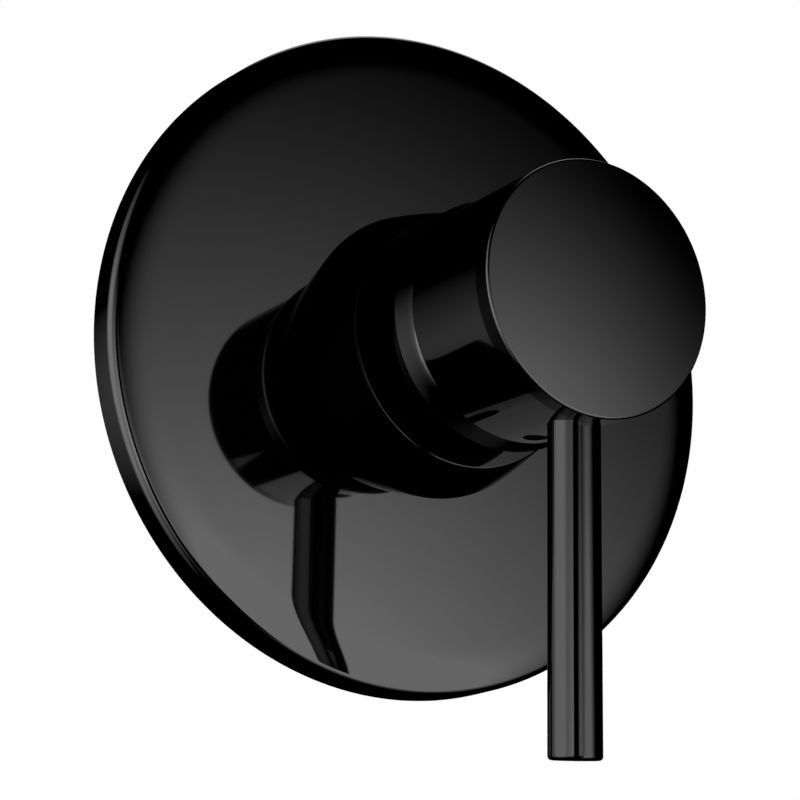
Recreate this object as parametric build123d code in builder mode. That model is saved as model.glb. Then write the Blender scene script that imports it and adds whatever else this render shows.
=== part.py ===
"""Concealed single-lever shower mixer.

A round wall plate, a bell that clamps it and a cylindrical handle with a pin lever, on a brass body
in the wall that holds a ceramic disc cartridge. The finished wall is the plane Y = 0. Heights are
measured outward from the wall, along -Y, and the lever hangs down, along -Z.
"""
from build123d import *
import math
import os

os.makedirs("parts", exist_ok=True)

# Wall plate, pressed from sheet with a soft roll-off at the edge of its face
plate_diameter = 150.0
plate_front_diameter = 148.8
plate_height = 8.6
plate_sheet = 2.0
plate_edge_radius = 2.0
crown_width = 10.8
crown_drop = 0.94
plate_hole_gap = 3.5

# Foam gasket behind the plate's rim
gasket_width = 7.0
gasket_play = 0.1

# Bell that stands on the plate, with the collar that reaches into the handle
bell_base_diameter = 63.8
bell_shoulder_diameter = 55.8
bell_height = 17.0
bell_bulge = 0.2
bell_edge_radius = 0.5
bell_foot_width = 4.2
bell_skirt_depth = 8.4
bell_roof = 2.0
collar_diameter = 37.0
collar_wall = 2.0
collar_overlap = 0.6
collar_root_radius = 1.5
collar_lip_radius = 0.8

# O-ring under the bell's foot
bell_seal_section = 1.8
bell_seal_play = 0.1

# Handle, a long cylinder with a flared ring at its back
handle_diameter = 51.2
handle_length = 33.6
handle_gap = 13.3
handle_wall = 3.2
handle_front_wall = 4.0
handle_crown = 0.8
handle_edge_radius = 0.5
flare_diameter = 53.3
flare_length = 6.0
flare_edge_radius = 0.6
flare_lip = 2.2
handle_boss_diameter = 16.8
handle_boss_reach = 22.0
boss_edge_chamfer = 1.0

# Pin lever under the handle
lever_diameter = 10.3
lever_length = 62.8
lever_setback = 9.1
lever_tip_radius = 0.8
lever_seat_depth = 0.8
lever_seat_play = 0.08
lever_boss_diameter = 15.0

# Threaded stud between lever and handle
stud_diameter = 6.0
stud_length = 17.0
stud_chamfer = 0.6
stud_end_gap = 0.5

# Grub screw that grips the spindle through the handle
grub_diameter = 5.0
grub_length = 8.0
grub_play = 0.2
grub_setback = 22.0
grub_boss_diameter = 9.6
grub_key_width = 2.5
grub_key_depth = 3.0
grub_key_sides = 6

# Brass body in the wall
neck_diameter = 46.0
barrel_diameter = 52.0
barrel_step_depth = 6.0
port_boss_diameter = 29.0
port_reach = 42.0
port_depth = 27.0
port_bore_diameter = 20.9
port_thread_length = 15.0
inlet_channel_diameter = 12.0
outlet_passage_diameter = 5.0
channel_wall = 1.4
body_back_wall = 4.5
body_edge_chamfer = 1.0
cast_radius = 2.5
lug_spacing = 44.0
lug_drop = 32.0
lug_width = 14.0
lug_thickness = 5.0
lug_hole_diameter = 5.5
bell_thread_play = 0.12

# Slotted nut that holds the cartridge
nut_diameter = 40.0
nut_thread_play = 0.1
nut_slot_width = 5.0
nut_slot_depth = 2.5
nut_slot_count = 4
nut_bore_play = 0.3
neck_headroom = 0.4

# Cartridge housing
housing_diameter = 35.0
housing_play = 0.1
housing_wall = 1.8
housing_boss_diameter = 29.2
housing_ledge = 2.8
housing_boss_height = 9.4
stop_gap = 0.3

# Turret that turns in the housing, with the lug that limits its turn
turn_angle = 50.0
turret_diameter = 24.0
turret_running_gap = 0.08
turret_flange_diameter = 28.0
turret_flange_height = 2.4
turret_stand = 1.0
turret_lift_gap = 0.1
turn_lug_width = 1.2
turn_lug_half_angle = 15.0

# Spindle on its pivot pin
lift_angle = 20.0
pivot_depth = 5.6
pin_diameter = 4.0
pin_inset = 0.6
pin_press_gap = 0.02
pin_running_gap = 0.05
spindle_width = 8.0
spindle_hub_diameter = 10.0
spindle_side_play = 0.15
spindle_swing_play = 0.4
spindle_end_gap = 1.0
spindle_end_chamfer = 0.8
ball_arm = 10.0
ball_diameter = 6.0
ball_neck_diameter = 4.0

# Insert between the spindle and the handle
bush_wall = 1.4
bush_play = 0.08

# Disc carrier and its slider block
carrier_diameter = 22.4
carrier_floor = 1.8
carrier_rise = 1.6
socket_play = 0.2
socket_drop = 0.9
block_height = 2.2
block_length = 10.2
block_offset = 0.5
carrier_gap = 0.3
carrier_seal_width = 1.6
carrier_seal_depth = 1.2
carrier_seal_inset = 1.6
seal_play = 0.05

# Ceramic discs
disc_thickness = 4.5
disc_play = 0.15
chamber_depth = 2.0
chamber_half_width = 8.2
chamber_top = 6.0
chamber_bottom = 2.6
chamber_corner = 2.4
key_width = 3.0
key_length = 2.6
key_height = 3.0
key_play = 0.1

# Cartridge base and its ports
base_flange_height = 2.5
base_height = 6.4
inlet_offset = 6.4
inlet_drop = 4.6
inlet_diameter = 5.2
outlet_rise = 2.6
outlet_diameter = 6.0
base_seal_width = 1.2
base_seal_depth = 1.8

# Heights from the wall, worked outward
bell_top = plate_height + bell_height
handle_back = bell_top + handle_gap
handle_front = handle_back + handle_length
collar_top = handle_back + collar_overlap
lever_height = handle_front - lever_setback
grub_height = handle_front - grub_setback
cavity_top = handle_front - handle_front_wall
boss_bottom = cavity_top - handle_boss_reach
pivot_height = bell_top - pivot_depth
neck_top = bell_top - bell_roof - neck_headroom

# Heights from the pivot, worked inward
ball_height = pivot_height - ball_arm
socket_floor = ball_height - ball_diameter / 2 - socket_drop
carrier_bottom = socket_floor - carrier_floor
carrier_top = ball_height + carrier_rise
turret_bottom = carrier_top + carrier_gap
flange_top = turret_bottom + turret_flange_height
ledge_bottom = flange_top + turret_lift_gap
shoulder = ledge_bottom + housing_ledge
housing_top = shoulder + housing_boss_height
turret_top = housing_top + turret_stand
moving_disc_bottom = carrier_bottom - disc_thickness
fixed_disc_bottom = moving_disc_bottom - disc_thickness
base_bottom = fixed_disc_bottom - base_height
housing_bottom = base_bottom + base_flange_height
port_height = -port_depth
body_back = port_height - port_boss_diameter / 2 - body_back_wall

# Radii that several pieces share
plate_radius = plate_diameter / 2
plate_front_radius = plate_front_diameter / 2
neck_radius = neck_diameter / 2
plate_hole_radius = neck_radius + plate_hole_gap
bell_thread_radius = neck_radius + bell_thread_play
collar_bore_radius = collar_diameter / 2 - collar_wall
housing_radius = housing_diameter / 2
chamber_radius = housing_radius + housing_play
cavity_radius = housing_radius - housing_wall
disc_radius = cavity_radius - disc_play
turret_radius = turret_diameter / 2
turret_bore_radius = turret_radius + turret_running_gap
handle_cavity_radius = handle_diameter / 2 - handle_wall
lever_top = handle_diameter / 2 - lever_seat_depth
grub_tip = spindle_width / 2
grub_hole_radius = grub_diameter / 2 + grub_play
bush_inner_width = spindle_width + 2 * bush_play
bush_outer_width = bush_inner_width + 2 * bush_wall
bush_socket_width = bush_outer_width + 2 * bush_play
slide_travel = ball_arm * math.radians(lift_angle)
lift_slope = math.tan(math.radians(lift_angle))
match_tolerance = 0.01

# Profiles are drawn with the radius along local x and the height along local y
turning = Plane(origin=(0, 0, 0), x_dir=(1, 0, 0), z_dir=(0, 0, -1))


def facing(height):
    """Plane parallel to the wall, facing outward, with local y up."""
    return Plane(origin=(0, -height, 0), x_dir=(1, 0, 0), z_dir=(0, -1, 0))


def sideways(height, direction):
    """Plane through the axis at one height, facing along the wall."""
    return Plane(origin=(0, -height, 0), z_dir=direction)


def rims(builder, radius):
    """Circular edges of one radius about the main axis, from the wall outward."""
    circles = builder.edges().filter_by(GeomType.CIRCLE)
    found = circles.filter_by(lambda edge: abs(edge.radius - radius) < match_tolerance)
    return found.sort_by(Axis.Y, reverse=True)


def downward_wedge(half_angle, mode):
    """Sector about straight down, wide enough to reach past every cartridge piece."""
    reach = 2 * housing_diameter / math.cos(math.radians(half_angle))
    side = reach * math.sin(math.radians(half_angle))
    drop = -reach * math.cos(math.radians(half_angle))
    Polygon((0, 0), (-side, drop), (side, drop), align=None, mode=mode)


def port_places():
    """Centres of the two inlets and the outlet, seen from the front."""
    return [(-inlet_offset, -inlet_drop), (inlet_offset, -inlet_drop)], [(0, outlet_rise)]


def cut_ports():
    """Circles of the three water ports in the current sketch."""
    inlets, outlets = port_places()
    with Locations(*inlets):
        Circle(inlet_diameter / 2)
    with Locations(*outlets):
        Circle(outlet_diameter / 2)


# Wall plate: flat face, crowned margin, rounded edge, slightly flared side and an open back
crown_start = plate_front_radius - crown_width
inner_crown_width = crown_width - plate_sheet
inner_crown_drop = crown_drop * (inner_crown_width / crown_width) ** 3
plate_back = plate_height - plate_sheet


def rolled(width, drop, height):
    """Curve that leaves the flat face without a break in its curvature and falls by the cube."""
    reach = [(crown_start + width * step / 3, height) for step in range(3)]
    return Bezier(*reach, (crown_start + width, height - drop))


with BuildPart() as wall_plate:
    with BuildSketch(turning):
        with BuildLine():
            face = Line((plate_hole_radius, plate_height), (crown_start, plate_height))
            crown = rolled(crown_width, crown_drop, plate_height)
            side = Line(crown @ 1, (plate_radius, 0))
            foot = Line(side @ 1, (plate_radius - plate_sheet, 0))
            inner_crown = rolled(inner_crown_width, inner_crown_drop, plate_back)
            Line(foot @ 1, inner_crown @ 1)
            inner_face = Line(inner_crown @ 0, (plate_hole_radius, plate_back))
            Line(inner_face @ 1, face @ 0)
        make_face()
    revolve(axis=Axis.Y)
    fillet(rims(wall_plate, plate_front_radius)[-1], plate_edge_radius)
wall_plate.part.label = "wall_plate"
export_step(wall_plate.part, "parts/wall_plate.step")

# Foam gasket: flat ring from the plate's inside to the wall, as wide as the narrower end of its side
gasket_outer_radius = min(plate_front_radius, plate_radius) - plate_sheet - gasket_play
gasket_inner_radius = gasket_outer_radius - gasket_width
gasket_reach = max(gasket_outer_radius - crown_start, 0)
gasket_drop = crown_drop * (gasket_reach / crown_width) ** 3
gasket_height = plate_back - gasket_drop - gasket_play
with BuildPart() as plate_gasket:
    with BuildSketch(facing(0)):
        Circle(gasket_outer_radius)
        Circle(gasket_inner_radius, mode=Mode.SUBTRACT)
    extrude(amount=gasket_height)
plate_gasket.part.label = "plate_gasket"
export_step(plate_gasket.part, "parts/plate_gasket.step")

# Bell: convex side, flat shoulder and collar, hollow below its thread
bell_base_radius = bell_base_diameter / 2
bell_shoulder_radius = bell_shoulder_diameter / 2
bell_middle_radius = (bell_base_radius + bell_shoulder_radius) / 2 + bell_bulge
bell_foot_radius = bell_base_radius - bell_foot_width
collar_radius = collar_diameter / 2
skirt_top = plate_height + bell_skirt_depth
roof_bottom = bell_top - bell_roof
bell_seal_radius = bell_base_radius - bell_foot_width / 2
groove_width = bell_seal_section + 2 * bell_seal_play
with BuildPart() as bell:
    with BuildSketch(turning):
        with BuildLine():
            flank_start = (bell_base_radius, plate_height)
            flank_middle = (bell_middle_radius, plate_height + bell_height / 2)
            flank = ThreePointArc(flank_start, flank_middle, (bell_shoulder_radius, bell_top))
            Polyline(
                flank @ 1,
                (collar_radius, bell_top),
                (collar_radius, collar_top),
                (collar_bore_radius, collar_top),
                (collar_bore_radius, roof_bottom),
                (bell_thread_radius, roof_bottom),
                (bell_thread_radius, skirt_top),
                (bell_foot_radius, skirt_top),
                (bell_foot_radius, plate_height),
                flank @ 0,
            )
        make_face()
    revolve(axis=Axis.Y)
    with BuildSketch(facing(plate_height)):
        Circle(bell_seal_radius + groove_width / 2)
        Circle(bell_seal_radius - groove_width / 2, mode=Mode.SUBTRACT)
    extrude(amount=groove_width, mode=Mode.SUBTRACT)
    fillet(rims(bell, bell_shoulder_radius)[-1], bell_edge_radius)
    fillet(rims(bell, collar_radius)[0], collar_root_radius)
    fillet(rims(bell, collar_radius)[-1], collar_lip_radius)
bell.part.label = "bell"
export_step(bell.part, "parts/bell.step")

# O-ring in the groove of the bell's foot
with BuildPart() as bell_seal:
    with BuildSketch(turning):
        with Locations((bell_seal_radius, plate_height + groove_width / 2)):
            Circle(bell_seal_section / 2)
    revolve(axis=Axis.Y)
bell_seal.part.label = "bell_seal"
export_step(bell_seal.part, "parts/bell_seal.step")

# Valve body: barrel and neck, three port bosses, two lugs, the cartridge chamber and its channels
barrel_top = -barrel_step_depth
thread_bottom = shoulder - nut_bore_play
inlet_end = outlet_diameter / 2 + channel_wall
outlet_channel_start = inlet_channel_diameter / 2 + channel_wall
left = (-1, 0, 0)
right = (1, 0, 0)
up = (0, 0, 1)
with BuildPart() as valve_body:
    with BuildSketch(facing(body_back)):
        Circle(barrel_diameter / 2)
    extrude(amount=barrel_top - body_back)
    chamfer(valve_body.edges().filter_by(GeomType.CIRCLE), body_edge_chamfer)
    with BuildSketch(facing(barrel_top)):
        Circle(neck_radius)
    extrude(amount=neck_top - barrel_top)
    for direction in (left, right, up):
        with BuildSketch(sideways(port_height, direction)):
            Circle(port_boss_diameter / 2)
        extrude(amount=port_reach)
    curved = valve_body.edges().filter_by(GeomType.CIRCLE, reverse=True)
    fillet(curved.filter_by(GeomType.LINE, reverse=True), cast_radius)
    chamfer(rims(valve_body, port_boss_diameter / 2), body_edge_chamfer)
    chamfer(rims(valve_body, neck_radius)[-1], body_edge_chamfer)
    with BuildSketch(facing(body_back)):
        for lug_offset in (-lug_spacing / 2, lug_spacing / 2):
            SlotCenterPoint((lug_offset / 2, -lug_drop / 2), (lug_offset, -lug_drop), lug_width)
    extrude(amount=lug_thickness)
    with BuildSketch(facing(body_back)):
        with Locations((-lug_spacing / 2, -lug_drop), (lug_spacing / 2, -lug_drop)):
            Circle(lug_hole_diameter / 2)
    extrude(amount=lug_thickness, mode=Mode.SUBTRACT)
    with BuildSketch(facing(base_bottom)):
        Circle(chamber_radius)
    extrude(amount=neck_top - base_bottom, mode=Mode.SUBTRACT)
    with BuildSketch(facing(thread_bottom)):
        Circle(nut_diameter / 2 + nut_thread_play)
    extrude(amount=neck_top - thread_bottom, mode=Mode.SUBTRACT)
    with BuildSketch(facing(base_bottom)):
        cut_ports()
    extrude(amount=port_height - base_bottom, mode=Mode.SUBTRACT)
    for direction in (left, right, up):
        with BuildSketch(sideways(port_height, direction).offset(port_reach - port_thread_length)):
            Circle(port_bore_diameter / 2)
        extrude(amount=port_thread_length, mode=Mode.SUBTRACT)
    for direction in (left, right):
        with BuildSketch(sideways(port_height, direction).offset(inlet_end)):
            Circle(inlet_channel_diameter / 2)
        extrude(amount=port_reach - inlet_end, mode=Mode.SUBTRACT)
    with BuildSketch(sideways(port_height, up)):
        Circle(outlet_passage_diameter / 2)
    extrude(amount=port_reach, mode=Mode.SUBTRACT)
    with BuildSketch(sideways(port_height, up).offset(outlet_channel_start)):
        Circle(inlet_channel_diameter / 2)
    extrude(amount=port_reach - outlet_channel_start, mode=Mode.SUBTRACT)
valve_body.part.label = "valve_body"
export_step(valve_body.part, "parts/valve_body.step")

# Slotted ring nut: bears on the housing's shoulder inside the neck
nut_top = neck_top
nut_bore_radius = housing_boss_diameter / 2 + nut_bore_play
with BuildPart() as cartridge_nut:
    with BuildSketch(facing(shoulder)):
        Circle(nut_diameter / 2)
        Circle(nut_bore_radius, mode=Mode.SUBTRACT)
    extrude(amount=nut_top - shoulder)
    with BuildSketch(facing(nut_top)):
        with PolarLocations(nut_diameter / 4, nut_slot_count):
            Rectangle(nut_diameter / 2, nut_slot_width)
    extrude(amount=-nut_slot_depth, mode=Mode.SUBTRACT)
cartridge_nut.part.label = "cartridge_nut"
export_step(cartridge_nut.part, "parts/cartridge_nut.step")

# Cartridge housing: cavity for the discs, ledge over the turret's flange, and the turn stops
stop_inner_radius = turret_flange_diameter / 2 + stop_gap
stop_half_angle = turn_angle + turn_lug_half_angle + math.degrees(stop_gap / stop_inner_radius)
with BuildPart() as cartridge_housing:
    with BuildSketch(turning):
        with BuildLine():
            Polyline(
                (cavity_radius, housing_bottom),
                (housing_radius, housing_bottom),
                (housing_radius, shoulder),
                (housing_boss_diameter / 2, shoulder),
                (housing_boss_diameter / 2, housing_top),
                (turret_bore_radius, housing_top),
                (turret_bore_radius, ledge_bottom),
                (cavity_radius, ledge_bottom),
                close=True,
            )
        make_face()
    revolve(axis=Axis.Y)
    with BuildSketch(facing(turret_bottom)):
        Circle(cavity_radius)
        Circle(stop_inner_radius, mode=Mode.SUBTRACT)
        downward_wedge(stop_half_angle, Mode.SUBTRACT)
    extrude(amount=ledge_bottom - turret_bottom)
cartridge_housing.part.label = "cartridge_housing"
export_step(cartridge_housing.part, "parts/cartridge_housing.step")

# Cartridge base: flange under the housing, plug inside it, two keys for the fixed disc
key_middle = disc_radius - key_length / 2
with BuildPart() as cartridge_base:
    with BuildSketch(facing(base_bottom)):
        Circle(housing_radius)
    extrude(amount=base_flange_height)
    with BuildSketch(facing(housing_bottom)):
        Circle(disc_radius)
    extrude(amount=fixed_disc_bottom - housing_bottom)
    with BuildSketch(facing(fixed_disc_bottom)):
        with Locations((-key_middle, 0), (key_middle, 0)):
            Rectangle(key_length, key_width)
        Circle(disc_radius, mode=Mode.INTERSECT)
    extrude(amount=key_height)
    with BuildSketch(facing(base_bottom)):
        cut_ports()
    extrude(amount=base_height, mode=Mode.SUBTRACT)
    inlet_places, outlet_places = port_places()
    with BuildSketch(facing(base_bottom)):
        with Locations(*inlet_places):
            Circle(inlet_diameter / 2 + base_seal_width + seal_play)
        with Locations(*outlet_places):
            Circle(outlet_diameter / 2 + base_seal_width + seal_play)
    extrude(amount=base_seal_depth + seal_play, mode=Mode.SUBTRACT)
cartridge_base.part.label = "cartridge_base"
export_step(cartridge_base.part, "parts/cartridge_base.step")

# Base seals: a rubber ring round each port, pressed flush against the chamber floor
with BuildPart() as base_seals:
    with BuildSketch(facing(base_bottom)):
        with Locations(*inlet_places):
            Circle(inlet_diameter / 2 + base_seal_width)
            Circle(inlet_diameter / 2, mode=Mode.SUBTRACT)
        with Locations(*outlet_places):
            Circle(outlet_diameter / 2 + base_seal_width)
            Circle(outlet_diameter / 2, mode=Mode.SUBTRACT)
    extrude(amount=base_seal_depth)
base_seals.part.label = "base_seals"
export_step(base_seals.part, "parts/base_seals.step")

# Fixed ceramic disc: three ports, and two notches that take the base's keys
with BuildPart() as fixed_disc:
    with BuildSketch(facing(fixed_disc_bottom)):
        Circle(disc_radius)
        with Locations((-disc_radius, 0), (disc_radius, 0)):
            Rectangle(2 * (key_length + key_play), key_width + 2 * key_play, mode=Mode.SUBTRACT)
    extrude(amount=disc_thickness)
    with BuildSketch(facing(fixed_disc_bottom)):
        cut_ports()
    extrude(amount=disc_thickness, mode=Mode.SUBTRACT)
fixed_disc.part.label = "fixed_disc"
export_step(fixed_disc.part, "parts/fixed_disc.step")

# Moving ceramic disc: a blind mixing chamber joins the inlets to the outlet as it slides down
chamber_height = chamber_top + chamber_bottom
chamber_centre = (chamber_top - chamber_bottom) / 2
with BuildPart() as moving_disc:
    with BuildSketch(facing(moving_disc_bottom)):
        Circle(carrier_diameter / 2)
    extrude(amount=disc_thickness)
    with BuildSketch(facing(moving_disc_bottom)):
        with Locations((0, chamber_centre)):
            RectangleRounded(2 * chamber_half_width, chamber_height, chamber_corner)
    extrude(amount=chamber_depth, mode=Mode.SUBTRACT)
moving_disc.part.label = "moving_disc"
export_step(moving_disc.part, "parts/moving_disc.step")

# Disc carrier: slider block that runs in the turret's slot, with a socket for the spindle's ball
socket_radius = ball_diameter / 2 + socket_play
lean_room = (carrier_rise + block_height) * lift_slope
carrier_seal_radius = carrier_diameter / 2 - carrier_seal_inset
with BuildPart() as disc_carrier:
    with BuildSketch(facing(carrier_bottom)):
        Circle(carrier_diameter / 2)
    extrude(amount=carrier_top - carrier_bottom)
    with BuildSketch(facing(carrier_top)):
        with Locations((0, block_offset)):
            Rectangle(spindle_width, block_length)
    extrude(amount=block_height)
    with BuildSketch(facing(socket_floor)):
        Circle(socket_radius)
    extrude(amount=carrier_top + block_height - socket_floor, mode=Mode.SUBTRACT)
    with BuildSketch(facing(ball_height)):
        SlotCenterPoint((0, lean_room / 2), (0, lean_room), 2 * socket_radius)
    extrude(amount=carrier_rise + block_height, mode=Mode.SUBTRACT)
    with BuildSketch(facing(carrier_bottom)):
        Circle(carrier_seal_radius + seal_play)
        Circle(carrier_seal_radius - carrier_seal_width - seal_play, mode=Mode.SUBTRACT)
    extrude(amount=carrier_seal_depth, mode=Mode.SUBTRACT)
disc_carrier.part.label = "disc_carrier"
export_step(disc_carrier.part, "parts/disc_carrier.step")

# Carrier seal: rubber ring between the carrier and the moving disc
with BuildPart() as carrier_seal:
    with BuildSketch(facing(carrier_bottom)):
        Circle(carrier_seal_radius)
        Circle(carrier_seal_radius - carrier_seal_width, mode=Mode.SUBTRACT)
    extrude(amount=carrier_seal_depth - seal_play)
carrier_seal.part.label = "carrier_seal"
export_step(carrier_seal.part, "parts/carrier_seal.step")

# Stem turret: flange with a turn lug, slot for the spindle and slider, hole for the pivot pin
slot_width = spindle_width + 2 * spindle_side_play
lean_up = (turret_top - pivot_height) * lift_slope
half_spindle = spindle_width / 2 / math.cos(math.radians(lift_angle))
slot_top = half_spindle + lean_up + spindle_swing_play
slot_bottom = block_length / 2 - block_offset + slide_travel + spindle_swing_play
lug_outer_radius = turret_flange_diameter / 2 + turn_lug_width
with BuildPart() as stem_turret:
    with BuildSketch(facing(turret_bottom)):
        Circle(turret_flange_diameter / 2)
    extrude(amount=turret_flange_height)
    with BuildSketch(facing(turret_bottom)):
        Circle(lug_outer_radius)
        downward_wedge(turn_lug_half_angle, Mode.INTERSECT)
    extrude(amount=turret_flange_height)
    with BuildSketch(facing(flange_top)):
        Circle(turret_radius)
    extrude(amount=turret_top - flange_top)
    with BuildSketch(facing(turret_bottom)):
        with Locations((0, (slot_top - slot_bottom) / 2)):
            Rectangle(slot_width, slot_top + slot_bottom)
    extrude(amount=turret_top - turret_bottom, mode=Mode.SUBTRACT)
    with BuildSketch(sideways(pivot_height, right)):
        Circle(pin_diameter / 2 + pin_press_gap)
    extrude(amount=turret_diameter, both=True, mode=Mode.SUBTRACT)
stem_turret.part.label = "stem_turret"
export_step(stem_turret.part, "parts/stem_turret.step")

# Pivot pin across the turret
with BuildPart() as pivot_pin:
    with BuildSketch(sideways(pivot_height, right)):
        Circle(pin_diameter / 2)
    extrude(amount=turret_radius - pin_inset, both=True)
pivot_pin.part.label = "pivot_pin"
export_step(pivot_pin.part, "parts/pivot_pin.step")

# Spindle: square shank above the pivot, ball on a neck below it
spindle_top = cavity_top - spindle_end_gap - bush_wall
shank_length = spindle_top - pivot_height
with BuildPart() as spindle:
    with BuildSketch(facing(pivot_height)):
        Rectangle(spindle_width, spindle_width)
    extrude(amount=shank_length)
    chamfer(spindle.faces().sort_by(Axis.Y)[0].edges(), spindle_end_chamfer)
    with BuildSketch(sideways(pivot_height, right)):
        Circle(spindle_hub_diameter / 2)
    extrude(amount=spindle_width / 2, both=True)
    with BuildSketch(facing(ball_height)):
        Circle(ball_neck_diameter / 2)
    extrude(amount=ball_arm)
    with Locations((0, -ball_height, 0)):
        Sphere(ball_diameter / 2)
    with BuildSketch(sideways(pivot_height, right)):
        Circle(pin_diameter / 2 + pin_running_gap)
    extrude(amount=spindle_width, both=True, mode=Mode.SUBTRACT)
spindle.part.label = "spindle"
export_step(spindle.part, "parts/spindle.step")

# Spindle bush: moulded cap over the square shank, open on the grub screw's side
with BuildPart() as spindle_bush:
    with BuildSketch(facing(boss_bottom)):
        Rectangle(bush_outer_width, bush_outer_width)
    extrude(amount=cavity_top - spindle_end_gap - boss_bottom)
    with BuildSketch(facing(boss_bottom)):
        Rectangle(bush_inner_width, bush_inner_width)
    extrude(amount=spindle_top + bush_play - boss_bottom, mode=Mode.SUBTRACT)
    with BuildSketch(sideways(grub_height, (0, 0, -1))):
        Circle(grub_hole_radius)
    extrude(amount=bush_outer_width, mode=Mode.SUBTRACT)
spindle_bush.part.label = "spindle_bush"
export_step(spindle_bush.part, "parts/spindle_bush.step")

# Handle shell: hollow cylinder with a flared back, bosses for the spindle, the lever and the grub screw
handle_radius = handle_diameter / 2
flare_radius = flare_diameter / 2
flare_top = handle_back + flare_length
dome_radius = (handle_radius**2 + handle_crown**2) / (2 * handle_crown)
stud_hole_radius = stud_diameter / 2 + lever_seat_play
stud_hole_depth = stud_length / 2 + stud_end_gap
down = (0, 0, -1)
with BuildPart() as handle_shell:
    with BuildSketch(turning):
        with BuildLine():
            Polyline(
                (0, handle_front + handle_crown),
                (handle_radius, handle_front + handle_crown),
                (handle_radius, flare_top),
                (flare_radius, handle_back),
                (flare_radius - flare_lip, handle_back),
                (handle_cavity_radius, flare_top),
                (handle_cavity_radius, cavity_top),
                (0, cavity_top),
                close=True,
            )
        make_face()
    revolve(axis=Axis.Y)
    with Locations((0, dome_radius - handle_front - handle_crown, 0)):
        Sphere(dome_radius, mode=Mode.INTERSECT)
    fillet(rims(handle_shell, handle_radius)[-1], handle_edge_radius)
    fillet(rims(handle_shell, flare_radius)[0], flare_edge_radius)
    with BuildSketch(facing(boss_bottom)):
        Circle(handle_boss_diameter / 2)
    extrude(amount=handle_boss_reach)
    chamfer(rims(handle_shell, handle_boss_diameter / 2)[0], boss_edge_chamfer)
    with BuildSketch(sideways(lever_height, down)):
        Circle(lever_boss_diameter / 2)
    extrude(amount=handle_cavity_radius + handle_wall / 2)
    with BuildSketch(sideways(grub_height, down)):
        Circle(grub_boss_diameter / 2)
    extrude(amount=handle_cavity_radius + handle_wall / 2)
    with BuildSketch(facing(handle_back)):
        Rectangle(bush_socket_width, bush_socket_width)
    extrude(amount=cavity_top - spindle_end_gap + bush_play - handle_back, mode=Mode.SUBTRACT)
    with BuildSketch(sideways(lever_height, down).offset(lever_top)):
        Circle(lever_diameter / 2 + lever_seat_play)
    extrude(amount=lever_seat_depth, mode=Mode.SUBTRACT)
    with BuildSketch(sideways(lever_height, down).offset(lever_top - stud_hole_depth)):
        Circle(stud_hole_radius)
    extrude(amount=stud_hole_depth, mode=Mode.SUBTRACT)
    with BuildSketch(sideways(grub_height, down)):
        Circle(grub_hole_radius)
    extrude(amount=handle_radius, mode=Mode.SUBTRACT)
handle_shell.part.label = "handle_shell"
export_step(handle_shell.part, "parts/handle_shell.step")

# Pin lever: plain rod with a rounded tip and a tapped hole in its top
with BuildPart() as pin_lever:
    with BuildSketch(sideways(lever_height, down).offset(lever_top)):
        Circle(lever_diameter / 2)
    extrude(amount=lever_seat_depth + lever_length)
    fillet(pin_lever.faces().sort_by(Axis.Z)[0].edges(), lever_tip_radius)
    with BuildSketch(sideways(lever_height, down).offset(lever_top)):
        Circle(stud_hole_radius)
    extrude(amount=stud_hole_depth, mode=Mode.SUBTRACT)
pin_lever.part.label = "pin_lever"
export_step(pin_lever.part, "parts/pin_lever.step")

# Lever stud: half in the lever, half in the handle
with BuildPart() as lever_stud:
    with BuildSketch(sideways(lever_height, down).offset(lever_top - stud_length / 2)):
        Circle(stud_diameter / 2)
    extrude(amount=stud_length)
    chamfer(lever_stud.edges().filter_by(GeomType.CIRCLE), stud_chamfer)
lever_stud.part.label = "lever_stud"
export_step(lever_stud.part, "parts/lever_stud.step")

# Grub screw: hexagon socket towards the hole, tip on the spindle's flat
with BuildPart() as grub_screw:
    with BuildSketch(sideways(grub_height, down).offset(grub_tip)):
        Circle(grub_diameter / 2)
    extrude(amount=grub_length)
    with BuildSketch(sideways(grub_height, down).offset(grub_tip + grub_length)):
        RegularPolygon(grub_key_width / 2, side_count=grub_key_sides, major_radius=False)
    extrude(amount=-grub_key_depth, mode=Mode.SUBTRACT)
grub_screw.part.label = "grub_screw"
export_step(grub_screw.part, "parts/grub_screw.step")
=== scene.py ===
import math

import bmesh
import bpy
from mathutils import Matrix, Vector


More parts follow.
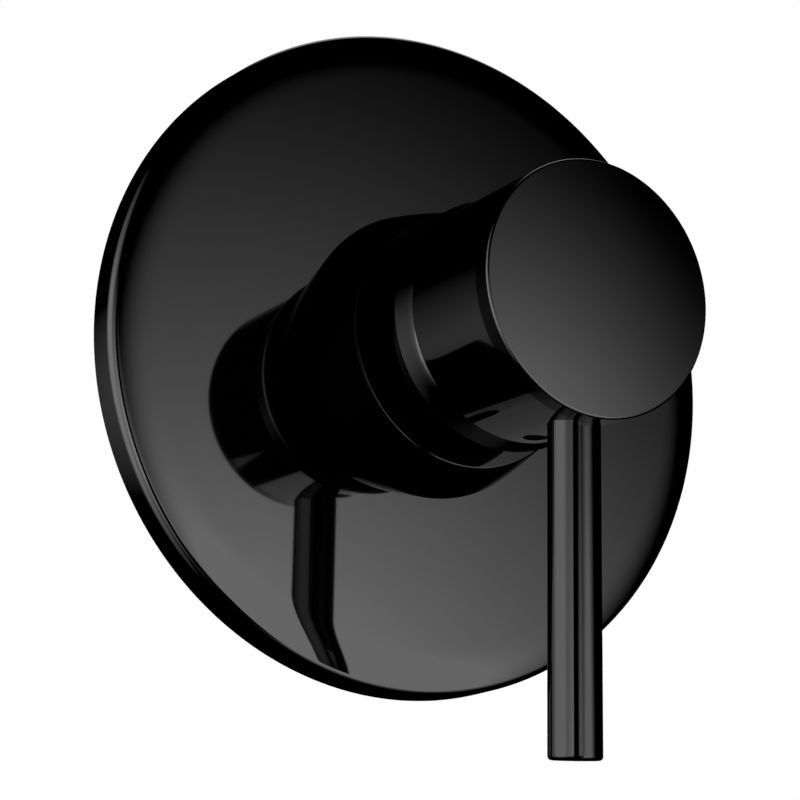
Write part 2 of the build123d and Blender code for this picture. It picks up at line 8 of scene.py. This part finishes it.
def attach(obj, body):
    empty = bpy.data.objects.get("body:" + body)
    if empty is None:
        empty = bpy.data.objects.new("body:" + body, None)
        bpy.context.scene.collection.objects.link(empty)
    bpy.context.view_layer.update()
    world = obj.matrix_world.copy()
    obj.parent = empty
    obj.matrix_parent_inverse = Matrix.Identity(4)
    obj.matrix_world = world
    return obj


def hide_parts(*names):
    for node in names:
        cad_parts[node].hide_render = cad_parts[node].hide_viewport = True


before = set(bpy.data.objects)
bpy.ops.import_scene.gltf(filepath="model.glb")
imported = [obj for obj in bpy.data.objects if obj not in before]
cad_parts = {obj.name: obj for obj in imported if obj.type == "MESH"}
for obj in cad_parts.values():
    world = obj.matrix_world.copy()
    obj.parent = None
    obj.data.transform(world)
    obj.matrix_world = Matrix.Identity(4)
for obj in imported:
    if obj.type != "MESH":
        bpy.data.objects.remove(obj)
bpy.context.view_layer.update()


# Valve body: the casting that is built into the wall, with two inlets, an outlet and two fixing lugs.
# It is sand cast in brass, so its skin is dull and grainy, with a seam where the two halves of the
# mould met. Only the port ends, the bores and the neck are machined bright.
class Flow:
    """A shader socket that takes part in Python sums."""

    def __init__(self, tree, socket=None):
        self.tree = tree
        self.socket = socket

    def node(self, kind, settings, sockets):
        """Any node: its settings are set first, then the values or links of its sockets."""
        made = self.tree.nodes.new(kind)
        for name, value in settings.items():
            setattr(made, name, value)
        for name, value in sockets.items():
            if isinstance(value, Flow):
                self.tree.links.new(value.socket, made.inputs[name])
            else:
                made.inputs[name].default_value = value
        return Flow(self.tree, made.outputs[0] if len(made.outputs) else None)

    def out(self, name):
        """Another output of the same node."""
        return Flow(self.tree, self.socket.node.outputs[name])

    def maths(self, operation, *terms):
        """One Math node over these terms."""
        return self.node("ShaderNodeMath", {"operation": operation}, dict(enumerate(terms)))

    def __add__(self, other):
        return self.maths("ADD", self, other)

    __radd__ = __add__

    def __sub__(self, other):
        return self.maths("SUBTRACT", self, other)

    def __rsub__(self, other):
        return self.maths("SUBTRACT", other, self)

    def __mul__(self, other):
        return self.maths("MULTIPLY", self, other)

    __rmul__ = __mul__

    def __truediv__(self, other):
        return self.maths("DIVIDE", self, other)

    def __rtruediv__(self, other):
        return self.maths("DIVIDE", other, self)

    def __pow__(self, other):
        return self.maths("POWER", self, other)

    def __neg__(self):
        return self.maths("MULTIPLY", self, -1.0)

    def __abs__(self):
        return self.maths("ABSOLUTE", self)

    def __lt__(self, other):
        return self.maths("LESS_THAN", self, other)

    def __gt__(self, other):
        return self.maths("GREATER_THAN", self, other)

    def at_most(self, limit):
        return self.maths("MINIMUM", self, limit)

    def at_least(self, limit):
        return self.maths("MAXIMUM", self, limit)

    def rise(self, low, high):
        """0 below low, 1 above high, and smooth between."""
        settings = {"interpolation_type": "SMOOTHSTEP"}
        return self.node("ShaderNodeMapRange", settings, {"Value": self, "From Min": low, "From Max": high})

    def axis(self, name):
        """One coordinate of a place: X, Y or Z."""
        return self.node("ShaderNodeSeparateXYZ", {}, {"Vector": self}).out(name)


def finish(name):
    """An empty material, and the start of its nodes."""
    material = bpy.data.materials.new(name)
    material.use_nodes = True
    material.node_tree.nodes.clear()
    return material, Flow(material.node_tree)


def millimetres(start):
    """The place of a point on the piece, in millimetres."""
    place = start.node("ShaderNodeTexCoord", {}, {}).out("Object")
    return start.node("ShaderNodeVectorMath", {"operation": "SCALE"}, {0: place, "Scale": 1000.0})


def from_axis(first, second):
    """Distance from an axis, from two distances at right angles to it."""
    return (first ** 2.0 + second ** 2.0) ** 0.5


def grain(where, scale, detail=3.0):
    """Noise with so many lumps to the millimetre."""
    return where.node("ShaderNodeTexNoise", {}, {"Vector": where, "Scale": scale, "Detail": detail})


def grooves(distance, scale=5.0):
    """Fine tool marks along one distance, so many to the millimetre."""
    return distance.node("ShaderNodeTexNoise", {"noise_dimensions": "1D"}, {"W": distance, "Scale": scale})


def blend(share, first, second):
    """A colour between two colours."""
    mixed = share.node("ShaderNodeMix", {"data_type": "RGBA"}, {0: share, 6: first, 7: second})
    return mixed.out(2)


def raised(height, strength, depth):
    """A surface whose height varies by a depth in millimetres."""
    sockets = {"Strength": strength, "Distance": depth / 1000, "Height": height}
    return height.node("ShaderNodeBump", {}, sockets)


def wire(shader):
    """A shader led to its material's output."""
    shader.node("ShaderNodeOutputMaterial", {}, {"Surface": shader})


def coat(start, sockets):
    """The one shader of a plain material."""
    wire(start.node("ShaderNodeBsdfPrincipled", {}, sockets))


def dress(material, *names):
    """One material over the whole of these CAD pieces."""
    for name in names:
        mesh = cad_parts[name].data
        mesh.materials.clear()
        mesh.materials.append(material)


port_line = 27.0
port_wall = 10.7
port_floor = 26.8
port_face = 40.8
neck_root = 0.5
seam_wander = 0.6
seam_core = 0.1
seam_edge = 0.45
cast_brass, start = finish("cast_brass")
where = millimetres(start)
x, y, z = where.axis("X"), where.axis("Y"), where.axis("Z")
from_inlets = from_axis(y - port_line, z)
from_outlet = from_axis(y - port_line, x)
inlet_ends = abs(x) > port_floor
outlet_end = z > port_floor
neck = y < neck_root
bores = (from_inlets < port_wall) * inlet_ends + (from_outlet < port_wall) * outlet_end
faces = (abs(x) > port_face) + (z > port_face)
machined = (bores + faces + neck).at_most(1.0)
cut = grooves(from_inlets * inlet_ends + from_outlet * outlet_end + y * neck)
sand = grain(where, 1.6, 4.0)
stain = grain(where, 0.09)
seam = 1.0 - abs(y - port_line + seam_wander * (stain - 0.5)).rise(seam_core, seam_edge)
skin = blend(stain, (0.45, 0.31, 0.14, 1.0), (0.63, 0.46, 0.22, 1.0))
coat(start, {
    "Base Color": blend(machined, skin, (0.74, 0.56, 0.28, 1.0)),
    "Metallic": 0.72 + 0.28 * machined,
    "Roughness": (0.46 + 0.16 * sand) * (1.0 - machined) + (0.2 + 0.14 * cut) * machined,
    "Normal": raised((sand + seam) * (1.0 - machined) + 0.12 * cut * machined, 0.7, 0.22),
})
dress(cast_brass, "valve_body")

# Port threads: the half-inch pipe threads that the supply pipes and the riser screw into.
# They are tapped in the brass, so each is a bright ridge that winds down the wall of its port.
thread_wall = 10.5
thread_crest = 9.3
thread_pitch = 1.814
thread_turns = 7
thread_start = 0.5
thread_steps = 56
thread_ridge = ((thread_wall, 0.06), (thread_crest, 0.42), (thread_crest, 0.58), (thread_wall, 0.94))
fade_steps = thread_steps / 3
sliver = 0.05
port_mouth = 42.0
sharp_angle = 30.0
tapped_brass, start = finish("tapped_brass")
where = millimetres(start)
smear = grain(where, 0.8)
coat(start, {
    "Base Color": blend(smear, (0.66, 0.48, 0.22, 1.0), (0.8, 0.62, 0.33, 1.0)),
    "Metallic": 1.0,
    "Roughness": 0.18 + 0.16 * smear,
})


def settled(name, mesh, material):
    """A finished mesh as a piece of the scene, smooth except at its hard edges."""
    bmesh.ops.recalc_face_normals(mesh, faces=mesh.faces)
    data = bpy.data.meshes.new(name)
    mesh.to_mesh(data)
    mesh.free()
    data.shade_smooth()
    data.set_sharp_from_angle(angle=math.radians(sharp_angle))
    data.materials.append(material)
    piece = bpy.data.objects.new(name, data)
    bpy.context.collection.objects.link(piece)
    return piece


def port_thread(name, mouth, inward, across):
    """The ridge down one port. It starts and ends as a sliver on the wall."""
    mouth, inward, across = Vector(mouth), Vector(inward), Vector(across)
    beside = inward.cross(across)
    count = thread_turns * thread_steps
    mesh = bmesh.new()
    rows = []
    for step in range(count + 1):
        turn = math.tau * step / thread_steps
        depth = thread_start + thread_pitch * step / thread_steps
        fullness = max(min(1.0, step / fade_steps, (count - step) / fade_steps), sliver)
        around = across * math.cos(turn) + beside * math.sin(turn)
        row = []
        for radius, share in thread_ridge:
            reach = thread_wall + (radius - thread_wall) * fullness
            corner = mouth + inward * (depth + share * thread_pitch) + around * reach
            row.append(mesh.verts.new(corner / 1000))
        rows.append(row)
    for near, far in zip(rows, rows[1:]):
        for side in range(len(thread_ridge)):
            after = (side + 1) % len(thread_ridge)
            mesh.faces.new((near[side], near[after], far[after], far[side]))
    mesh.faces.new(rows[0][::-1])
    mesh.faces.new(rows[-1])
    thread = settled(name, mesh, tapped_brass)
    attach(thread, "root")


port_thread("hot_thread", (-port_mouth, port_line, 0.0), (1.0, 0.0, 0.0), (0.0, 0.0, 1.0))
port_thread("cold_thread", (port_mouth, port_line, 0.0), (-1.0, 0.0, 0.0), (0.0, 0.0, 1.0))
port_thread("outlet_thread", (0.0, port_line, port_mouth), (0.0, 0.0, -1.0), (1.0, 0.0, 0.0))

# Cartridge base and housing: the two halves of the cartridge's case, which clip together.
# They are moulded in pale nylon with glass fibre, so they are satin, with faint flow marks.
cartridge_nylon, start = finish("cartridge_nylon")
where = millimetres(start)
flow = grain(where, 0.35)
fibre = grain(where, 6.0, 1.0)
coat(start, {
    "Base Color": blend(flow, (0.72, 0.73, 0.72, 1.0), (0.83, 0.83, 0.81, 1.0)),
    "Roughness": 0.38 + 0.14 * fibre,
    "Normal": raised(fibre, 0.25, 0.04),
})
dress(cartridge_nylon, "cartridge_base", "cartridge_housing")

# Rubber rings: three under the cartridge base, one under the disc carrier, one under the bell.
# They are moulded in black rubber with a slight bloom, and lie pressed in their grooves.
seal_rubber, start = finish("seal_rubber")
where = millimetres(start)
bloom = grain(where, 0.5)
coat(start, {
    "Base Color": blend(bloom, (0.022, 0.022, 0.023, 1.0), (0.05, 0.05, 0.052, 1.0)),
    "Roughness": 0.5 + 0.2 * bloom,
})
dress(seal_rubber, "base_seals", "carrier_seal", "bell_seal")

# Ceramic discs: the fixed one lies on the cartridge base, the moving one slides across it.
# They are fired alumina, lapped until the two faces hold water between them.
alumina, start = finish("alumina")
where = millimetres(start)
speck = grain(where, 3.0)
coat(start, {
    "Base Color": blend(speck, (0.82, 0.79, 0.73, 1.0), (0.9, 0.88, 0.84, 1.0)),
    "Roughness": 0.14 + 0.12 * speck,
})
dress(alumina, "fixed_disc", "moving_disc")

# Disc carrier, turret and spindle bush: the sliding and turning plastic pieces round the spindle.
# They are moulded in grey acetal, which runs well on ceramic and metal, with a satin skin.
slider_acetal, start = finish("slider_acetal")
where = millimetres(start)
flow = grain(where, 0.4)
coat(start, {
    "Base Color": blend(flow, (0.17, 0.19, 0.21, 1.0), (0.23, 0.25, 0.27, 1.0)),
    "Roughness": 0.3 + 0.16 * flow,
})
dress(slider_acetal, "disc_carrier", "stem_turret", "spindle_bush")

# Pivot pin, lever stud and grub screw: the pin carries the spindle in the turret, the stud joins
# lever and handle, and the screw grips the spindle. All three are turned from stainless bar.
turned_steel, start = finish("turned_steel")
where = millimetres(start)
cut = grooves(where.axis("X") + where.axis("Y") + where.axis("Z"), 4.0)
coat(start, {
    "Base Color": blend(cut, (0.52, 0.52, 0.53, 1.0), (0.66, 0.66, 0.67, 1.0)),
    "Metallic": 1.0,
    "Roughness": 0.2 + 0.2 * cut,
})
dress(turned_steel, "pivot_pin", "lever_stud", "grub_screw")

# Spindle and cartridge nut: the nut screws into the body's neck over the cartridge, and the spindle
# stands up through it. Both are turned from brass bar, with rings from the tool.
turned_brass, start = finish("turned_brass")
where = millimetres(start)
cut = grooves(from_axis(where.axis("X"), where.axis("Z")) + where.axis("Y"))
coat(start, {
    "Base Color": blend(cut, (0.68, 0.5, 0.24, 1.0), (0.8, 0.63, 0.34, 1.0)),
    "Metallic": 1.0,
    "Roughness": 0.2 + 0.16 * cut,
    "Normal": raised(cut, 0.3, 0.03),
})
dress(turned_brass, "spindle", "cartridge_nut")

# Plate gasket: the ring that seals the plate's rim against the tiles. It is cut from a sheet of
# closed-cell foam, so its faces show small cells, and glue holds it in the plate.
gasket_foam, start = finish("gasket_foam")
where = millimetres(start)
cells = start.node("ShaderNodeTexVoronoi", {}, {"Vector": where, "Scale": 1.4})
coat(start, {
    "Base Color": blend(cells, (0.075, 0.075, 0.077, 1.0), (0.16, 0.16, 0.162, 1.0)),
    "Roughness": 0.75 + 0.2 * cells,
    "Normal": raised(cells, 0.6, 0.2),
})
dress(gasket_foam, "plate_gasket")

# Wall plate: the round cover over the hole in the tiles. It is pressed from brass sheet with a soft
# roll-off at its rim, polished, and plated a glossy black, a dark metal that mirrors the room at
# about an eighth of its brightness.
hole_radius = 26.5
face_height = 8.6
sheet = 2.0
crown_start = 63.6
crown_width = 10.8
crown_drop = 0.94
crown_steps = 40
outer_reach = 9.3
inner_reach = 8.8
rim_middle = (72.52, 6.0365)
rim_radius = 2.0
rim_top = 79.04
rim_side = 4.48
rim_steps = 24
side_start = (74.54, 5.9)
foot_radius = 75.0
round_steps = 360
plating_deep = (0.126, 0.126, 0.129, 1.0)
plating_pale = (0.134, 0.134, 0.135, 1.0)
black_plating, start = finish("black_plating")
where = millimetres(start)
haze = grain(where, 0.04)
coat(start, {
    "Base Color": blend(haze, plating_deep, plating_pale),
    "Metallic": 1.0,
    "Roughness": 0.03 + 0.02 * haze,
})


def rolled(reach, height):
    """Points of a face that falls away by the cube of the distance from its flat middle."""
    across = [reach * step / crown_steps for step in range(crown_steps + 1)]
    return [(crown_start + run, height - crown_drop * (run / crown_width) ** 3) for run in across]


def rim_point(step):
    """A point of the round edge between the plate's face and its side."""
    lean = math.radians(rim_top + (rim_side - rim_top) * step / rim_steps)
    return rim_middle[0] + rim_radius * math.cos(lean), rim_middle[1] + rim_radius * math.sin(lean)


def spun(name, outline, material):
    """A piece turned about the object's axis from a closed outline of radius and height."""
    mesh = bmesh.new()
    rows = []
    for step in range(round_steps):
        turn = math.tau * step / round_steps
        row = [(radius * math.cos(turn), -height, radius * math.sin(turn)) for radius, height in outline]
        rows.append([mesh.verts.new(Vector(corner) / 1000) for corner in row])
    for near, far in zip(rows, rows[1:] + rows[:1]):
        for place in range(len(outline)):
            after = (place + 1) % len(outline)
            mesh.faces.new((near[place], near[after], far[after], far[place]))
    return settled(name, mesh, material)


rim = [rim_point(step) for step in range(1, rim_steps + 1)]
front = [(hole_radius, face_height)] + rolled(outer_reach, face_height) + rim
side = [side_start, (foot_radius, 0.0), (foot_radius - sheet, 0.0)]
inside = rolled(inner_reach, face_height - sheet)[::-1] + [(hole_radius, face_height - sheet)]
polished_plate = spun("polished_plate", front + side + inside, black_plating)
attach(polished_plate, "root")
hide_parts("wall_plate")

# Bell: the cover that screws onto the body's neck and clamps the plate, with a collar that reaches
# into the handle. It is turned from brass and plated, and coloured a deeper black than the rest as
# painted shade. The lower half of its flat shoulder is coloured lighter and mirrors more, a painted
# reflection.
shoulder_height = 25.6
shoulder_core = 0.02
shoulder_edge = 0.06
shoulder_sheen_start = 2.0
shoulder_sheen_full = 14.0
bell_plating_painted_dark, start = finish("bell_plating_painted_dark")
where = millimetres(start)
haze = grain(where, 0.05)
on_shoulder = 1.0 - abs(where.axis("Y") + shoulder_height).rise(shoulder_core, shoulder_edge)
# Painted reflection: the lower half of the shoulder is coloured lighter and mirrors more.
shoulder = on_shoulder * (-where.axis("Z")).rise(shoulder_sheen_start, shoulder_sheen_full)
# Painted shade: the rest of the bell is coloured near black.
coat(start, {
    "Base Color": blend(shoulder, (0.004, 0.004, 0.0041, 1.0), (0.07, 0.07, 0.071, 1.0)),
    "Metallic": 1.0,
    "Specular Tint": (0.05, 0.05, 0.05, 1.0),
    "Roughness": 0.06 + 0.03 * haze - 0.03 * shoulder,
})
dress(bell_plating_painted_dark, "bell")

# Handle: the hollow cylinder that turns and tilts on the spindle. It is turned from brass and plated
# like the plate. The flared ring at its back is coloured brighter as a painted highlight, except
# underneath;
# a narrow band behind its front edge is coloured dark as a painted dark reflection; and its inside is
# coloured dark as painted shade.
flare_start = 39.3
flare_end = 44.9
flare_back_blur = 0.1
flare_front_blur = 0.15
ring_sheen_start = -22.0
ring_sheen_full = -12.0
band_start = 68.4
band_end = 71.9
band_blur = 0.2
skin_radius = 25.2
skin_blur = 0.1
ring_plating, start = finish("ring_plating")
where = millimetres(start)
x, y, z = where.axis("X"), where.axis("Y"), where.axis("Z")
haze = grain(where, 0.04)
outside = from_axis(x, z).rise(skin_radius - skin_blur, skin_radius + skin_blur)
flare_front = (y + flare_end).rise(-flare_front_blur, flare_front_blur)
flare_back = (-flare_start - y).rise(-flare_back_blur, flare_back_blur)
band = (-band_start - y).rise(-band_blur, band_blur) * (y + band_end).rise(-band_blur, band_blur)
# Painted dark reflection on the band behind the front edge, and painted shade inside the handle.
painted_dark = (band + (1.0 - outside) * (y > -band_end)).at_most(1.0)
black = blend(haze, plating_deep, plating_pale)
gloss = 0.03 + 0.02 * haze
shell_look = start.node("ShaderNodeBsdfPrincipled", {}, {
    "Base Color": blend(painted_dark, black, (0.02, 0.02, 0.0205, 1.0)),
    "Metallic": 1.0,
    "Roughness": gloss,
})
# Painted highlight: the ring is coloured brighter, fading out underneath.
ring_look = start.node("ShaderNodeBsdfPrincipled", {}, {
    "Base Color": blend(z.rise(ring_sheen_start, ring_sheen_full), black, (0.3, 0.3, 0.303, 1.0)),
    "Metallic": 1.0,
    "Specular Tint": (0.02, 0.02, 0.02, 1.0),
    "Roughness": gloss,
})
ring = flare_front * flare_back
wire(start.node("ShaderNodeMixShader", {}, {0: ring, 1: shell_look, 2: ring_look}))
dress(ring_plating, "handle_shell")

# Pin lever: the plain rod that a stud holds under the handle. It is turned from brass bar and plated,
# its colour a shade deeper than the plate's, with the fine rings that the lathe left under the plating.
lever_plating, start = finish("lever_plating")
where = millimetres(start)
haze = grain(where, 0.06)
cut = grooves(where.axis("Z"), 3.0)
coat(start, {
    "Base Color": blend(haze, (0.09, 0.09, 0.092, 1.0), (0.097, 0.097, 0.098, 1.0)),
    "Metallic": 1.0,
    "Specular Tint": (0.2, 0.2, 0.2, 1.0),
    "Roughness": 0.03 + 0.03 * cut,
})
dress(lever_plating, "pin_lever")

# Floor: a wide pale sheet well below the object, which throws some light up at it.
# Mirrors don't see it, so that it leaves no line in the polished metal.
floor_drop = 0.3
floor_size = 12.0
bpy.ops.mesh.primitive_plane_add(size=floor_size, location=(0.0, 0.0, -floor_drop))
floor = bpy.context.object
floor.name = "floor"
pale, start = finish("pale_floor")
coat(start, {"Base Color": (0.86, 0.86, 0.86, 1.0), "Roughness": 0.9})
floor.data.materials.append(pale)
floor.visible_glossy = False


# Studio tent: a dark globe round the object with soft oval lights on its inside, which only polished
# surfaces see. A photographer lights black metal so, because it shows nothing but what it mirrors.
# Each light has the direction of its middle in degrees, and its half width and height on the globe.
def glow(place, azimuth, elevation, width, height, gain, limit=1.0, fall=1.0):
    """Soft oval light on the tent, brightest round its middle."""
    turn, lift = math.radians(azimuth), math.radians(elevation)
    across = Vector((math.cos(turn), math.sin(turn), 0.0))
    middle = Vector((math.sin(turn) * math.cos(lift), -math.cos(turn) * math.cos(lift), math.sin(lift)))
    upward = middle.cross(across)

    def along(direction):
        reach = place.node("ShaderNodeVectorMath", {"operation": "DOT_PRODUCT"}, {0: place, 1: direction})
        return reach.out("Value")

    offset = from_axis(along(across) / width, along(upward) / height)
    lit = ((1.0 - offset) * gain).at_least(0.0).at_most(limit) ** fall
    return lit * (along(middle) > 0.0)


brightest = 1.3
tent_radius = 1.0
tent_segments = 96
tent_rings = 48
tent_look, start = finish("studio_tent")
place = start.node("ShaderNodeTexCoord", {}, {}).out("Object")
right_light = glow(place, 20.6, -18.4, width=0.571, height=0.765, gain=1.93, fall=1.6)
left_light = glow(place, -95.0, -3.0, width=0.82, height=0.8, gain=2.05, limit=1.15)
front_light = glow(place, -38.0, -12.0, width=0.45, height=0.55, gain=1.5, limit=brightest)
inner_light = glow(place, -10.0, -10.0, width=0.18, height=0.45, gain=1.0)
back_light = glow(place, 180.0, 0.0, width=0.45, height=0.45, gain=2.0)
high_light = glow(place, 140.0, 62.0, width=0.4, height=0.4, gain=2.0)
light = right_light + left_light + front_light + inner_light + back_light + high_light
glare = blend(light / brightest, (0.0, 0.0, 0.0, 1.0), (1.0, 1.0, 1.0, 1.0))
wire(start.node("ShaderNodeEmission", {}, {"Color": glare, "Strength": brightest}))


def for_mirrors(piece):
    """A piece of the studio that only mirrors see."""
    piece.visible_camera = False
    piece.visible_diffuse = False
    piece.visible_shadow = False
    piece.visible_transmission = False


bpy.ops.mesh.primitive_uv_sphere_add(segments=tent_segments, ring_count=tent_rings, radius=tent_radius)
tent = bpy.context.object
tent.name = "studio_tent"
tent.data.materials.append(tent_look)
for_mirrors(tent)

# Black cards: two sheets in front of the object, which hold the tent's light off the handle's side.
# They give nothing back, and stand upright in one plane that only polished surfaces see.
card_distance = 0.342
card_look, start = finish("black_card")
wire(start.node("ShaderNodeEmission", {}, {"Strength": 0.0}))


def black_card(name, left, right, low, high):
    """An upright sheet between these limits across and in height."""
    corners = ((left, low), (right, low), (right, high), (left, high))
    sheet_mesh = bpy.data.meshes.new(name)
    places = [(across, -card_distance, height) for across, height in corners]
    sheet_mesh.from_pydata(places, [], [(0, 1, 2, 3)])
    sheet_mesh.materials.append(card_look)
    card = bpy.data.objects.new(name, sheet_mesh)
    bpy.context.collection.objects.link(card)
    for_mirrors(card)


black_card("tall_card", -0.232, -0.1, -0.35, 0.1)
black_card("low_card", -0.26, 0.0, -0.35, -0.14)

# Key lamp and surround: a large soft lamp over the object's left shoulder, and an even white room.
# Mirrors don't see the lamp. The room is white to the eye and lights plain surfaces a little less.
key_power = 12.0
key_size = 1.2
key_place = (-0.8, -1.2, 1.5)
room_light = 0.7
room_white = 1.0
key = bpy.data.lights.new("key_lamp", "AREA")
key.energy = key_power
key.size = key_size
key_lamp = bpy.data.objects.new("key_lamp", key)
key_lamp.location = key_place
key_lamp.rotation_euler = (-key_lamp.location).to_track_quat("-Z", "Y").to_euler()
key_lamp.visible_glossy = False
bpy.context.collection.objects.link(key_lamp)

world = bpy.data.worlds.new("surround")
bpy.context.scene.world = world
world.use_nodes = True
world.node_tree.nodes.clear()
start = Flow(world.node_tree)
path = start.node("ShaderNodeLightPath", {}, {})
seen = path.out("Is Camera Ray") + path.out("Is Glossy Ray") + path.out("Is Transmission Ray")
level = room_light + (room_white - room_light) * seen.at_most(1.0)
sky = start.node("ShaderNodeBackground", {}, {"Color": (1.0, 1.0, 1.0, 1.0), "Strength": level})
start.node("ShaderNodeOutputWorld", {}, {"Surface": sky})

# Camera: low and to the left of the handle, as the photograph was taken.
# Its place, its three axes and its lens fit the outlines of plate, bell, handle and lever.
lens = bpy.data.cameras.new("camera")
lens.sensor_width = 36.0
lens.lens = 81.03
camera = bpy.data.objects.new("camera", lens)
bpy.context.collection.objects.link(camera)
camera_place = (-0.1946, -0.3418, -0.0968)
camera_right = Vector((0.87002, -0.49272, 0.01736))
camera_up = Vector((-0.12269, -0.18228, 0.97556))
camera_back = Vector((-0.47751, -0.85089, -0.21904))
turned = Matrix((camera_right, camera_up, camera_back)).transposed().to_4x4()
camera.matrix_world = Matrix.Translation(camera_place) @ turned
bpy.context.scene.camera = camera
bpy.context.scene.view_settings.view_transform = "Standard"
